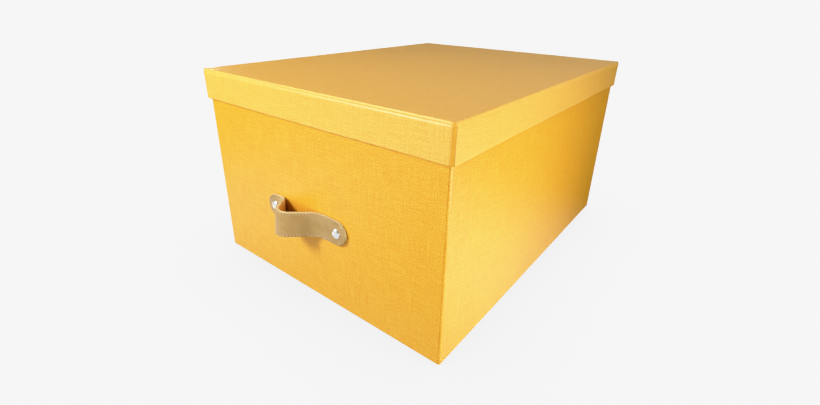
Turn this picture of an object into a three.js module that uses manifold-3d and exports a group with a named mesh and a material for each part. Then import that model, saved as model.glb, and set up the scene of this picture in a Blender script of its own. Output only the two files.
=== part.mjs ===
// Cloth-covered archival box with a lift-off lid and a leather pull strap on its front.
// Frame: X along the front face, +Y into the depth, +Z up. The origin is the middle of the
// underside. Millimetres.
import * as THREE from 'three';
import { mergeVertices } from 'three/addons/utils/BufferGeometryUtils.js';
import Module from 'manifold-3d';

// ---- driving sizes ----
const LID_W = 380;            // lid, outside, along X
const LID_D = 490;            // lid, outside, along Y
const HEIGHT = 258;           // closed box, lid top above the floor
const SKIRT = 38;             // depth of the lid's skirt
const OVERHANG = 3.6;         // lid outside beyond the body outside, each side
const BOARD = 1.8;            // greyboard
const CLOTH = 0.3;            // book cloth on its paper backing
const PAPER = 0.25;           // lining paper
const STAY = 0.15;            // paper tape that holds a corner
const GLUE = 0.05;            // glue line between any two layers

const STAY_LEG = 30;          // each leg of a corner stay
const EAR = 20;               // cloth wrapped round a corner
const BODY_TURN_IN = 18;      // cloth folded over the rim, down the inside
const LID_TURN_IN = 15;
const BASE_TURN_IN = 20;      // cloth folded under the base
const CORNER_SHORT = 2;       // front and back cloths stop this far from the corner
const BASE_SHEET_INSET = 6;
const LINER_BELOW_RIM = 4;
const BOARD_CORNER_R = 1.2;   // outside vertical corners
const LID_BOARD_CORNER_R = 1.7;
const STAY_CORNER = GLUE + STAY;              // what the stay adds to a corner's radius
const COVER_CORNER = STAY_CORNER + GLUE + CLOTH;
const BODY_CORNER_R = BOARD_CORNER_R + COVER_CORNER;
const LID_CORNER_R = LID_BOARD_CORNER_R + COVER_CORNER;

const STRAP_X = -8.5;         // middle between the two studs
const STRAP_Z = 104.5;
const STUD_PITCH = 107.5;
const STRAP_WIDTH = 30;
const STRAP_BEYOND_STUD = 13.7;
const LEATHER = 1.8;
const THREAD = 0.3;
const STITCH_INSET = 2.2;
const CREST_X = -21.5;        // arch of the strap, seen from above
const CREST_OUT = 28.9;
const CREST_R = 15.5;
const LEFT_SLOPE = 61;
const RIGHT_SLOPE = 43;
const LEFT_FOOT_R = 10.5;
const RIGHT_FOOT_R = 30;

const STUD_HEAD_R = 6.25;
const STUD_RIM = 0.9;
const STUD_DOME = 2.4;
const BARREL_R = 2.5;
const BARREL_HOLE_R = 2.6;
const BARREL_BORE_R = 1.7;
const SCREW_R = 1.6;
const SCREW_HEAD_R = 4.5;
const SCREW_HEAD = 1.4;
const SCREW_EDGE = 0.4;
const WASHER_R = 6;
const WASHER = 0.8;

// ---- layers of the body, from outside in ----
const bodyX = LID_W / 2 - OVERHANG;
const bodyY = LID_D / 2 - OVERHANG;
const sideStayX = bodyX - CLOTH - GLUE;
const boardX = sideStayX - STAY - GLUE;
const earY = bodyY - CLOTH - GLUE;
const frontStayY = earY - CLOTH - GLUE;
const boardY = frontStayY - STAY - GLUE;
const boardInX = boardX - BOARD;
const boardInY = boardY - BOARD;
const turnX = boardInX - GLUE;
const turnY = boardInY - GLUE;
const linerX = turnX - CLOTH - GLUE;
const linerY = turnY - CLOTH - GLUE;
const roomX = linerX - PAPER;
const roomY = linerY - PAPER;
const turnBottom = CLOTH + GLUE;
const baseBottom = turnBottom + CLOTH + GLUE;
const baseTop = baseBottom + BOARD;
const wallBottom = baseTop + GLUE;

// ---- layers of the lid ----
const lidX = LID_W / 2;
const lidY = LID_D / 2;
const lidBottom = HEIGHT - SKIRT;
const lidEarX = lidX - CLOTH - GLUE;
const lidStayX = lidEarX - CLOTH - GLUE;
const lidBoardX = lidStayX - STAY - GLUE;
const lidStayY = lidY - CLOTH - GLUE;
const lidBoardY = lidStayY - STAY - GLUE;
const lidBoardInX = lidBoardX - BOARD;
const lidBoardInY = lidBoardY - BOARD;
const lidTurnX = lidBoardInX - GLUE;
const lidTurnY = lidBoardInY - GLUE;
const lidPanelTop = HEIGHT - CLOTH - GLUE;
const lidPanelBottom = lidPanelTop - BOARD;
const lidLinerTop = lidPanelBottom - GLUE;
const rimTop = lidLinerTop - PAPER - GLUE;
const wallTop = rimTop - CLOTH - GLUE;

// ---- groups and materials ----
const root = new THREE.Group();
root.name = 'archival_box';
const groups = {};
for (const name of ['box', 'lid', 'handle']) {
  groups[name] = new THREE.Group();
  groups[name].name = `${name}_group`;
  root.add(groups[name]);
}
const LOOKS = {
  cloth: { color: 0xf2b93f, roughness: 0.9, metalness: 0 },
  board: { color: 0x8c877d, roughness: 0.95, metalness: 0 },
  paper: { color: 0xe8e2d2, roughness: 0.9, metalness: 0 },
  tape: { color: 0xcbb691, roughness: 0.8, metalness: 0 },
  leather: { color: 0xc39a5b, roughness: 0.5, metalness: 0 },
  backing: { color: 0xb98245, roughness: 0.6, metalness: 0 },
  thread: { color: 0xe9dcc0, roughness: 0.7, metalness: 0 },
  metal: { color: 0xd6d8db, roughness: 0.15, metalness: 1 },
};
function piece(group, name, look, geometry, position = [0, 0, 0]) {
  const mesh = new THREE.Mesh(geometry, new THREE.MeshStandardMaterial(LOOKS[look]));
  mesh.name = name;
  mesh.position.set(...position);
  groups[group].add(mesh);
}

// ---- joining and cutting ----
const SMALLEST_EDGE = 0.005;
const wasm = await Module();
wasm.setup();
// Faces meant to lie in one plane get the very same number.
const snapped = (v) => Math.round(v * 1e4) / 1e4;
function solidOf(geometry) {
  const plain = geometry.clone();
  plain.deleteAttribute('normal');
  plain.deleteAttribute('uv');
  const merged = mergeVertices(plain, 1e-5);
  return new wasm.Manifold(new wasm.Mesh({
    numProp: 3,
    vertProperties: Float32Array.from(merged.attributes.position.array, snapped),
    triVerts: new Uint32Array(merged.index.array),
  }));
}
function geometryOf(solid) {
  const mesh = solid.asOriginal().simplify(SMALLEST_EDGE).getMesh();
  const geometry = new THREE.BufferGeometry();
  geometry.setAttribute('position', new THREE.BufferAttribute(mesh.vertProperties, 3));
  geometry.setIndex(new THREE.BufferAttribute(mesh.triVerts, 1));
  return geometry;
}

// A box is a range on each axis: [[x0, x1], [y0, y1], [z0, z1]].
const box = (x0, x1, y0, y1, z0, z1) => [[x0, x1], [y0, y1], [z0, z1]];
const sizes = (b) => b.map(([low, high]) => high - low);
const middles = (b) => b.map(([low, high]) => (low + high) / 2);
// The range a..b on one side of the middle plane.
const onSide = (side, a, b) => (side > 0 ? [a, b] : [-b, -a]);

function panel(group, name, look, b) {
  piece(group, name, look, new THREE.BoxGeometry(...sizes(b)), middles(b));
}

// A round cutter along Y through the wall or the strap at one stud.
function cutter(x, y0, y1) {
  const geometry = new THREE.CylinderGeometry(BARREL_HOLE_R, BARREL_HOLE_R, y1 - y0, 24);
  geometry.translate(x, (y0 + y1) / 2, STRAP_Z);
  return solidOf(geometry);
}

// A plan outline, [x, y] points, raised between two heights.
function raised(plan, [z0, z1]) {
  const shape = new THREE.Shape(plan.map(([x, y]) => new THREE.Vector2(x, y)));
  const geometry = new THREE.ExtrudeGeometry(shape, { depth: z1 - z0, bevelEnabled: false });
  return geometry.translate(0, 0, z0);
}
// A quarter turn of radius r round the corner (x, y) of a plan: sx and sy say which corner.
function quarter(x, y, sx, sy, r) {
  const points = [];
  for (let i = 0; i <= 6; i++) {
    const a = (Math.PI / 2) * (i / 6);
    points.push([x - sx * r * (1 - Math.sin(a)), y - sy * r * (1 - Math.cos(a))]);
  }
  return points;
}
// A strip that comes along the wall of end `sy`, turns the corner `sx` and ends on the side wall.
function corner(sx, sy, x, y, r, thick, alongX, alongY) {
  const outer = quarter(x, y, sx, sy, r);
  const inner = quarter(x - sx * thick, y - sy * thick, sx, sy, r - thick).reverse();
  return [[x - sx * alongX, y], ...outer, [x, y - sy * alongY],
    [x - sx * thick, y - sy * alongY], ...inner, [x - sx * alongX, y - sy * thick]];
}
// A strip over one whole wall and round both its corners, by `ear` each. `across` is the half
// width of that wall, `face` its distance from the middle; `turned` puts the wall on a side.
function hugging(side, across, face, r, thick, ear, turned = false) {
  const half = (s) => [[s * across, face - ear], ...quarter(s * across, face, s, 1, r).reverse(),
    ...quarter(s * (across - thick), face - thick, s, 1, r - thick),
    [s * (across - thick), face - ear]];
  const outerR = half(1).slice(0, 8);
  const innerR = half(1).slice(8);
  const outerL = half(-1).slice(0, 8).reverse();
  const innerL = half(-1).slice(8).reverse();
  const plan = [...outerR, ...outerL, ...innerL, ...innerR];
  return plan.map(([a, b]) => (turned ? [side * b, a] : [a, side * b]));
}

// Several boxes, and other shapes, joined into one sheet, with a hole for each stud listed.
function sheet(boxes, studs = [], shapes = []) {
  const parts = [
    ...boxes.map((b) => new THREE.BoxGeometry(...sizes(b)).translate(...middles(b))), ...shapes];
  let solid = null;
  for (const part of parts) solid = solid ? solid.add(solidOf(part)) : solidOf(part);
  for (const x of studs) solid = solid.subtract(cutter(x, -bodyY - 1, -roomY + 1));
  return geometryOf(solid);
}

const studXs = [STRAP_X - STUD_PITCH / 2, STRAP_X + STUD_PITCH / 2];
const SIDES = [['left', -1], ['right', 1]];
const ENDS = [['front', -1], ['back', 1]];

// ---- body: boards ----
// A whole panel with four rounded corners, and an end wall with its two outer ones rounded.
function panelPlan(x, y, r) {
  return [[1, 1], [-1, 1], [-1, -1], [1, -1]].flatMap(([sx, sy]) => {
    const points = quarter(sx * x, sy * y, sx, sy, r);
    return sx * sy > 0 ? points.reverse() : points;
  });
}
function wallPlan(side, x, outer, inner, r) {
  const points = [...quarter(x, outer, 1, 1, r).reverse(), ...quarter(-x, outer, -1, 1, r),
    [-x, inner], [x, inner]];
  return points.map(([a, b]) => [a, side * b]);
}
piece('box', 'base_board', 'board',
  raised(panelPlan(boardX, boardY, BOARD_CORNER_R), [baseBottom, baseTop]));
for (const [name, side] of ENDS) {
  const plan = wallPlan(side, boardX, boardY, boardInY, BOARD_CORNER_R);
  piece('box', `${name}_board`, 'board',
    sheet([], name === 'front' ? studXs : [], [raised(plan, [wallBottom, wallTop])]));
}
for (const [name, side] of SIDES) {
  const y = boardInY - GLUE;
  panel('box', `${name}_board`, 'board',
    [onSide(side, boardInX, boardX), [-y, y], [wallBottom, wallTop]]);
}

// ---- corner stays: an L of tape outside each vertical corner ----
function stay(group, name, sx, sy, outX, outY, r, z) {
  const plan = corner(sx, sy, sx * outX, sy * outY, r, STAY, STAY_LEG, STAY_LEG);
  piece(group, name, 'tape', raised(plan, z));
}
for (const [end, sy] of ENDS) {
  for (const [side, sx] of SIDES) {
    stay('box', `stay_${end}_${side}`, sx, sy, sideStayX, frontStayY,
      BOARD_CORNER_R + STAY_CORNER, [baseBottom + BOARD_CORNER_R, wallTop]);
    stay('lid', `lid_stay_${end}_${side}`, sx, sy, lidStayX, lidStayY,
      LID_BOARD_CORNER_R + STAY_CORNER, [lidBottom + CLOTH + GLUE, lidPanelTop - BOARD_CORNER_R]);
  }
}

// ---- body: cloth ----
const frontX = bodyX - CORNER_SHORT;          // half width of the front and back cloths
const underZ = [turnBottom, turnBottom + CLOTH];
const rimZ = [rimTop - CLOTH, rimTop];
const foldZ = [rimTop - BODY_TURN_IN, rimTop];
for (const [name, side] of ENDS) {
  piece('box', `${name}_cover`, 'cloth', sheet([
    [[-frontX, frontX], onSide(side, bodyY - CLOTH, bodyY), [turnBottom, rimTop]],
    [[-frontX, frontX], onSide(side, turnY - CLOTH, bodyY), rimZ],
    [[-turnX, turnX], onSide(side, turnY - CLOTH, turnY), foldZ],
    [[-frontX, frontX], onSide(side, bodyY - BASE_TURN_IN, bodyY), underZ],
  ], name === 'front' ? studXs : []));
}
for (const [name, side] of SIDES) {
  const between = turnY - CLOTH - GLUE;       // keeps clear of the front and back turn-ins
  const under = bodyY - BASE_TURN_IN - GLUE;
  const ends = earY - BODY_CORNER_R;
  const edge = onSide(side, frontX + GLUE, bodyX);
  const wrapped = hugging(side, earY, bodyX, BODY_CORNER_R, CLOTH, EAR, true);
  piece('box', `${name}_cover`, 'cloth', sheet([
    [edge, [-ends, ends], rimZ],
    [edge, [-ends, ends], underZ],
    [onSide(side, bodyX - CLOTH, bodyX), [-ends, ends], [turnBottom, rimTop]],
    [onSide(side, turnX - CLOTH, bodyX), [-between, between], rimZ],
    [onSide(side, turnX - CLOTH, turnX), [-between, between], foldZ],
    [onSide(side, bodyX - BASE_TURN_IN, bodyX), [-under, under], underZ],
  ], [], [raised(wrapped, [turnBottom + CLOTH + GLUE, rimTop - CLOTH - GLUE])]));
}
const baseSheetX = bodyX - BASE_SHEET_INSET;
const baseSheetY = bodyY - BASE_SHEET_INSET;
panel('box', 'base_cover', 'cloth',
  box(-baseSheetX, baseSheetX, -baseSheetY, baseSheetY, 0, CLOTH));

// ---- body: lining paper ----
panel('box', 'liner_floor', 'paper',
  box(-linerX, linerX, -linerY, linerY, wallBottom, wallBottom + PAPER));
// Four strips that make one band round the inside.
function band(x, y, z) {
  return [
    ...[-1, 1].map((side) => [[-x, x], onSide(side, y - PAPER, y), z]),
    ...[-1, 1].map((side) => [onSide(side, x - PAPER, x), [-y, y], z]),
  ];
}
piece('box', 'liner_walls', 'paper', sheet(
  band(linerX, linerY, [wallBottom + PAPER + GLUE, rimTop - LINER_BELOW_RIM]), studXs));

// ---- lid: boards ----
piece('lid', 'lid_top_board', 'board',
  raised(panelPlan(lidBoardX, lidBoardY, LID_BOARD_CORNER_R), [lidPanelBottom, lidPanelTop]));
const skirtZ = [lidBottom + CLOTH + GLUE, lidPanelBottom - GLUE];
for (const [name, end] of ENDS) {
  piece('lid', `lid_${name}_board`, 'board',
    raised(wallPlan(end, lidBoardX, lidBoardY, lidBoardInY, LID_BOARD_CORNER_R), skirtZ));
}
for (const [name, side] of SIDES) {
  const y = lidBoardInY - GLUE;
  panel('lid', `lid_${name}_board`, 'board',
    [onSide(side, lidBoardInX, lidBoardX), [-y, y], skirtZ]);
}

// ---- lid: one sheet of cloth, its front and back flaps eared round under the side flaps ----
const edgeZ = [lidBottom, lidBottom + CLOTH];
const lidFoldZ = [lidBottom, lidBottom + LID_TURN_IN];
const earLow = lidBottom + CLOTH + GLUE;
const lidBetween = lidTurnY - CLOTH - GLUE;
const lidEnds = lidY - LID_CORNER_R;
const lidBoxes = [];
const lidShapes = [raised(panelPlan(lidEarX, lidY, LID_CORNER_R), [HEIGHT - CLOTH, HEIGHT])];
for (const end of [-1, 1]) {
  const flapY = onSide(end, lidY - CLOTH, lidY);
  lidBoxes.push(
    [[-lidTurnX + LID_CORNER_R, lidTurnX - LID_CORNER_R], flapY, [lidBottom, HEIGHT]],
    [[-lidTurnX, lidTurnX], onSide(end, lidTurnY - CLOTH, lidY), edgeZ],
    [[-lidTurnX, lidTurnX], onSide(end, lidTurnY - CLOTH, lidTurnY), lidFoldZ],
  );
  lidShapes.push(
    raised(hugging(end, lidEarX, lidY, LID_CORNER_R, CLOTH, EAR), [earLow, HEIGHT - CLOTH - GLUE]));
}
for (const side of [-1, 1]) {
  lidBoxes.push(
    [onSide(side, lidEarX - 1, lidX), [-lidEnds, lidEnds], [HEIGHT - CLOTH, HEIGHT]],
    [onSide(side, lidX - CLOTH, lidX), [-lidEnds, lidEnds], [lidBottom, HEIGHT]],
    [onSide(side, lidTurnX + GLUE, lidX), [-lidEnds, lidEnds], edgeZ],
    [onSide(side, lidTurnX - CLOTH, lidX), [-lidBetween, lidBetween], edgeZ],
    [onSide(side, lidTurnX - CLOTH, lidTurnX), [-lidBetween, lidBetween], lidFoldZ],
  );
}
piece('lid', 'lid_cover', 'cloth', sheet(lidBoxes, [], lidShapes));
panel('lid', 'lid_liner_top', 'paper',
  box(-lidTurnX, lidTurnX, -lidTurnY, lidTurnY, lidLinerTop - PAPER, lidLinerTop));
piece('lid', 'lid_liner_band', 'paper', sheet(
  band(lidTurnX, lidTurnY, [lidBottom + LID_TURN_IN + GLUE, lidLinerTop - PAPER - GLUE])));

// ---- strap: its glue line seen from above, a chain of straights and bends ----
const strapMid = THREAD + GLUE + LEATHER + GLUE / 2;     // glue line off the cloth, where flat
const strapFace = GLUE / 2 + LEATHER;
const strapEnds = [studXs[0] - STRAP_BEYOND_STUD, studXs[1] + STRAP_BEYOND_STUD];
function strapChain() {
  const [a, b] = [LEFT_SLOPE, RIGHT_SLOPE].map(THREE.MathUtils.degToRad);
  const crestOut = CREST_OUT - CREST_R;
  const leftTop = [CREST_X - CREST_R * Math.sin(a), crestOut + CREST_R * Math.cos(a)];
  const rightTop = [CREST_X + CREST_R * Math.sin(b), crestOut + CREST_R * Math.cos(b)];
  const leftRise = leftTop[1] - strapMid - LEFT_FOOT_R * (1 - Math.cos(a));
  const rightRise = rightTop[1] - strapMid - RIGHT_FOOT_R * (1 - Math.cos(b));
  const leftFoot = leftTop[0] - leftRise / Math.tan(a) - LEFT_FOOT_R * Math.sin(a);
  const rightFoot = rightTop[0] + rightRise / Math.tan(b) + RIGHT_FOOT_R * Math.sin(b);
  return [
    { length: leftFoot - strapEnds[0], turn: 0 },
    { length: LEFT_FOOT_R * a, turn: a },
    { length: leftRise / Math.sin(a), turn: 0 },
    { length: CREST_R * (a + b), turn: -(a + b) },
    { length: rightRise / Math.sin(b), turn: 0 },
    { length: RIGHT_FOOT_R * b, turn: b },
    { length: strapEnds[1] - rightFoot, turn: 0 },
  ];
}

// Points of the line at one depth off the glue line, towards or away from the box.
function strapLine(depth) {
  const points = [];
  let [x, out, heading] = [strapEnds[0], strapMid, 0];
  const mark = () => points.push(new THREE.Vector2(
    x - depth * Math.sin(heading), -(bodyY + out + depth * Math.cos(heading))));
  mark();
  for (const { length, turn } of strapChain()) {
    const steps = turn ? Math.ceil(Math.abs(turn) / 0.1) : 1;
    const step = turn / steps;
    const chord = turn ? (2 * length * Math.sin(Math.abs(step) / 2)) / Math.abs(turn) : length;
    for (let i = 0; i < steps; i++) {
      x += chord * Math.cos(heading + step / 2);
      out += chord * Math.sin(heading + step / 2);
      heading += step;
      mark();
    }
  }
  return points;
}
// The band between two depths, as wide as the strap.
function strapBand(depth0, depth1) {
  const shape = new THREE.Shape([...strapLine(depth0), ...strapLine(depth1).reverse()]);
  const geometry = new THREE.ExtrudeGeometry(shape, { depth: STRAP_WIDTH, bevelEnabled: false });
  return solidOf(geometry.translate(0, 0, STRAP_Z - STRAP_WIDTH / 2));
}
// The round-ended outline of the strap, or a line `inset` within it, as a solid along Y.
function strapOutline(inset) {
  const r = STRAP_WIDTH / 2 - inset;
  const [x0, x1] = [strapEnds[0] + STRAP_WIDTH / 2, strapEnds[1] - STRAP_WIDTH / 2];
  const shape = new THREE.Shape();
  shape.absarc(x1, STRAP_Z, r, -Math.PI / 2, Math.PI / 2, false);
  shape.absarc(x0, STRAP_Z, r, Math.PI / 2, (3 * Math.PI) / 2, false);
  const depth = CREST_OUT + 10;
  const geometry = new THREE.ExtrudeGeometry(shape, { depth, curveSegments: 14,
    bevelEnabled: false });
  return solidOf(geometry.rotateX(Math.PI / 2).translate(0, -bodyY + 1, 0));
}
function leather(depth0, depth1) {
  let solid = strapBand(depth0, depth1).intersect(strapOutline(0));
  for (const x of studXs) solid = solid.subtract(cutter(x, -bodyY - 10, -bodyY + 1));
  return geometryOf(solid);
}
// One thread of the lockstitch: a flat loop that follows the strap's edge.
function threadLoop(depth0, depth1) {
  const loop = strapOutline(STITCH_INSET - THREAD).subtract(strapOutline(STITCH_INSET + THREAD));
  return geometryOf(strapBand(depth0, depth1).intersect(loop));
}
piece('handle', 'strap_lining', 'backing', leather(-strapFace, -GLUE / 2));
piece('handle', 'strap_outer', 'leather', leather(GLUE / 2, strapFace));
piece('handle', 'needle_thread', 'thread', threadLoop(strapFace + GLUE / 2, strapFace + THREAD));
piece('handle', 'bobbin_thread', 'thread',
  threadLoop(-strapFace - THREAD, -strapFace - GLUE / 2));

// ---- studs: domed head and hollow barrel, a washer and a screw from inside ----
const headUnder = -(bodyY + strapMid + strapFace + GLUE);
const washerFront = -(roomY - GLUE);
const barrelEnd = washerFront + WASHER / 2;
const screwSeat = washerFront + WASHER + GLUE;
const screwTop = screwSeat + SCREW_HEAD;
function turned(outline) {
  return new THREE.LatheGeometry(outline.map(([r, y]) => new THREE.Vector2(r, y)), 36);
}
function studOutline() {
  const rimY = headUnder - STUD_RIM;
  const domeR = (STUD_HEAD_R ** 2 + STUD_DOME ** 2) / (2 * STUD_DOME);
  const dome = [];
  for (let i = 0; i <= 8; i++) {
    const r = (STUD_HEAD_R * i) / 8;
    dome.push([r, rimY - STUD_DOME + domeR - Math.sqrt(domeR ** 2 - r ** 2)]);
  }
  return [...dome, [STUD_HEAD_R, headUnder], [BARREL_R, headUnder], [BARREL_R, barrelEnd],
    [BARREL_BORE_R, barrelEnd], [BARREL_BORE_R, headUnder + 1], [0, headUnder + 1]];
}
const washerOutline = [[BARREL_HOLE_R, washerFront], [WASHER_R, washerFront],
  [WASHER_R, washerFront + WASHER], [BARREL_HOLE_R, washerFront + WASHER],
  [BARREL_HOLE_R, washerFront]];
const screwOutline = [[0, headUnder + 2], [SCREW_R, headUnder + 2], [SCREW_R, screwSeat],
  [SCREW_HEAD_R, screwSeat], [SCREW_HEAD_R, screwTop - SCREW_EDGE],
  [SCREW_HEAD_R - SCREW_EDGE, screwTop], [0, screwTop]];
SIDES.forEach(([name], i) => {
  const place = [studXs[i], 0, STRAP_Z];
  piece('box', `stud_${name}`, 'metal', turned(studOutline()), place);
  piece('box', `washer_${name}`, 'metal', turned(washerOutline), place);
  piece('box', `screw_${name}`, 'metal', turned(screwOutline), place);
});

export default root;
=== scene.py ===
"""Looks of a cloth-covered archival box: lift-off lid, leather pull strap with two studs.

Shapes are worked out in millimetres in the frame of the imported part, and made in metres.
"""

import math

import bmesh
import bpy
from mathutils import Matrix, Vector, noise

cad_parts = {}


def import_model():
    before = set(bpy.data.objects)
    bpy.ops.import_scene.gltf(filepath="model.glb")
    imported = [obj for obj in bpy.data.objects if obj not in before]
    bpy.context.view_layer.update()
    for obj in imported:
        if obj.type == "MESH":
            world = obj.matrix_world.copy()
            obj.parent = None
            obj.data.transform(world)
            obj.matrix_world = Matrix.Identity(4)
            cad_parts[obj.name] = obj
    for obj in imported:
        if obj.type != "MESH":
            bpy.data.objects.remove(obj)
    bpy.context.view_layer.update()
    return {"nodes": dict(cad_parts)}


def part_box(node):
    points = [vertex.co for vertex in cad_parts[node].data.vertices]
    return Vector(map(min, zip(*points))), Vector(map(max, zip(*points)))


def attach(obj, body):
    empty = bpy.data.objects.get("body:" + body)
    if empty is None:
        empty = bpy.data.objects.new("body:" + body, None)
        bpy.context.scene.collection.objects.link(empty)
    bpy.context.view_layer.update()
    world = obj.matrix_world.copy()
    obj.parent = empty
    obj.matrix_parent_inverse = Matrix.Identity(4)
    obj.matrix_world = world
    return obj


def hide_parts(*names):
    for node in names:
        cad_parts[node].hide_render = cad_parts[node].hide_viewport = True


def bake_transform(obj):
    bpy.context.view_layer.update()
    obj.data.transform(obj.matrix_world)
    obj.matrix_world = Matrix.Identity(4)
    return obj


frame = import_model()
MM = 0.001

# ---- layers of the box, as the part is built ----
CLOTH = 0.3
GLUE = 0.05
STAY = 0.15
BOARD = 1.8
EAR_STEP = CLOTH + GLUE              # how far a sheet stands proud of one it overlaps
WALL = STAY + BOARD + 3 * GLUE + 2 * CLOTH    # cloth face to cloth face, through one wall
BODY_CORNER_R = 1.75
LID_CORNER_R = 2.25
EAR = 20.0                           # a side cloth, or a flap of the lid, wrapped round a corner
CORNER_SHORT = 2.0                   # the front and back cloths stop this far from the corner
BODY_TURN_IN = 18.0
LID_TURN_IN = 15.0
BASE_TURN_IN = 20.0
STAY_LEG = 30.0

# ---- cloth pulled over the boards' edges, rounder here than in the part ----
EDGE_R = 0.95
TOP_EDGE_R = 1.4
BASE_EDGE_R = 1.2
TIGHTEST_R = 0.12                    # the least radius that a corner keeps as it is drawn in

# ---- strap, as the part is built ----
STRAP_WIDTH = 30.0
STRAP_BEYOND_STUD = 13.7
LEATHER = 1.8
THREAD = 0.3
STITCH_INSET = 2.2
CREST_X = -21.5
CREST_OUT = 28.9
CREST_R = 15.5
LEFT_SLOPE = math.radians(61)
RIGHT_SLOPE = math.radians(43)
LEFT_FOOT_R = 10.5
RIGHT_FOOT_R = 30.0


def node_box(name):
    """Lowest and highest corner of a CAD node, in millimetres."""
    low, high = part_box(name)
    return low / MM, high / MM


lid_low, lid_high = node_box("lid_cover")
side_high = node_box("right_cover")[1]
front_low, front_high = node_box("front_cover")
stud_low, stud_high = node_box("stud_left")
stud2_low, stud2_high = node_box("stud_right")
FRONT_Y = -front_low.y               # outside of the front cloth
STUD_X = [(stud_low.x + stud_high.x) / 2, (stud2_low.x + stud2_high.x) / 2]
STRAP_Z = (stud_low.z + stud_high.z) / 2
STUD_R = (stud_high.x - stud_low.x) / 2


# ---- node trees ----
class Nodes:
    """Short calls for building a material's node tree."""

    def __init__(self, name):
        self.material = bpy.data.materials.new(name)
        self.material.use_nodes = True
        self.tree = self.material.node_tree
        self.shader = self.tree.nodes["Principled BSDF"]

    def new(self, kind, **settings):
        made = self.tree.nodes.new(kind)
        for key, value in settings.items():
            setattr(made, key, value)
        return made

    def link(self, output, socket):
        self.tree.links.new(output, socket)

    def put(self, socket, value):
        if isinstance(value, bpy.types.NodeSocket):
            self.link(value, socket)
        else:
            socket.default_value = value

    def math(self, operation, a, b=0.0, clamp=False):
        made = self.new("ShaderNodeMath", operation=operation, use_clamp=clamp)
        self.put(made.inputs[0], a)
        self.put(made.inputs[1], b)
        return made.outputs[0]

    def scaled(self, vector, scale):
        made = self.new("ShaderNodeVectorMath", operation="MULTIPLY")
        self.put(made.inputs[0], vector)
        made.inputs[1].default_value = scale
        return made.outputs[0]

    def added(self, a, b):
        made = self.new("ShaderNodeVectorMath", operation="ADD")
        self.put(made.inputs[0], a)
        self.put(made.inputs[1], b)
        return made.outputs[0]

    def noise(self, vector, scale, detail=2.0, roughness=0.5):
        """Noise from 0 to 1; the scale is how many times it rises and falls in a millimetre."""
        made = self.new("ShaderNodeTexNoise")
        made.inputs["Scale"].default_value = 1.0
        made.inputs["Detail"].default_value = detail
        made.inputs["Roughness"].default_value = roughness
        self.link(self.scaled(vector, scale), made.inputs["Vector"])
        return made.outputs["Fac"]

    def ramp(self, factor, stops):
        made = self.new("ShaderNodeValToRGB")
        elements = made.color_ramp.elements
        while len(elements) < len(stops):
            elements.new(0.5)
        for element, (at, colour) in zip(elements, stops):
            element.position = at
            element.color = (*colour, 1)
        self.link(factor, made.inputs["Fac"])
        return made.outputs["Color"]

    def mix(self, factor, a, b, blend="MIX"):
        made = self.new("ShaderNodeMix", data_type="RGBA", blend_type=blend)
        for socket, value in ((0, factor), (6, a), (7, b)):
            if isinstance(value, tuple):
                value = (*value, 1)
            self.put(made.inputs[socket], value)
        return made.outputs[2]

    def bump(self, height, depth):
        """Relief from a height of 0 to 1, `depth` millimetres deep."""
        made = self.new("ShaderNodeBump")
        made.inputs["Distance"].default_value = depth * MM
        self.link(height, made.inputs["Height"])
        self.link(made.outputs["Normal"], self.shader.inputs["Normal"])

    def set(self, **values):
        """Sets the shader's sockets by name, each to a value or a link."""
        for key, value in values.items():
            socket = self.shader.inputs[key.replace("_", " ")]
            if isinstance(value, tuple) and len(value) == 3:
                value = (*value, 1)
            self.put(socket, value)


def sheet_coordinates(n):
    """Place on the flat sheet in millimetres, from the UV map."""
    return n.new("ShaderNodeTexCoord").outputs["UV"]


def solid_coordinates(n):
    """Place in the frame in millimetres."""
    return n.scaled(n.new("ShaderNodeTexCoord").outputs["Object"], (1000, 1000, 1000))


# Book cloth, in millimetres and shares.
THREAD_PITCH = 0.55
THREAD_STRAY = 1.6                   # how far threads wander from straight
STREAK_TONE, SPECK_TONE, WEAVE_TONE = 0.5, 1.5, 0.05
STREAK_RELIEF, SPECK_RELIEF, WEAVE_RELIEF = 0.35, 0.5, 0.30
CLOTH_RELIEF = 0.055
CLOTH_ROUGHNESS = 0.4
# Its colour, from the shaded yarn to the lit yarn; the lid's is painted paler, as painted light
# where the lid is lit brighter.
BODY_CLOTH = ((0.54, 0.208, 0.002), (0.63, 0.300, 0.018), (0.72, 0.404, 0.046))
LID_CLOTH_PAINTED_PALER = ((0.60, 0.280, 0.028), (0.68, 0.364, 0.058), (0.76, 0.452, 0.100))
MEAN_TONE = 0.5
# Painted shade at the ends of the lid's front and back flaps, by its corners: tint, added
# roughness, and fade.
CORNER_SHADE_TINT = (0.74, 0.64, 0.13)
CORNER_ROUGHER = 0.5
CORNER_SHADE_FADE = 4.5
CORNER_SHADE_FROM = (lid_high.x - 5.5, lid_high.y - 1.4)    # on the flat sheet, from its middle


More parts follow.
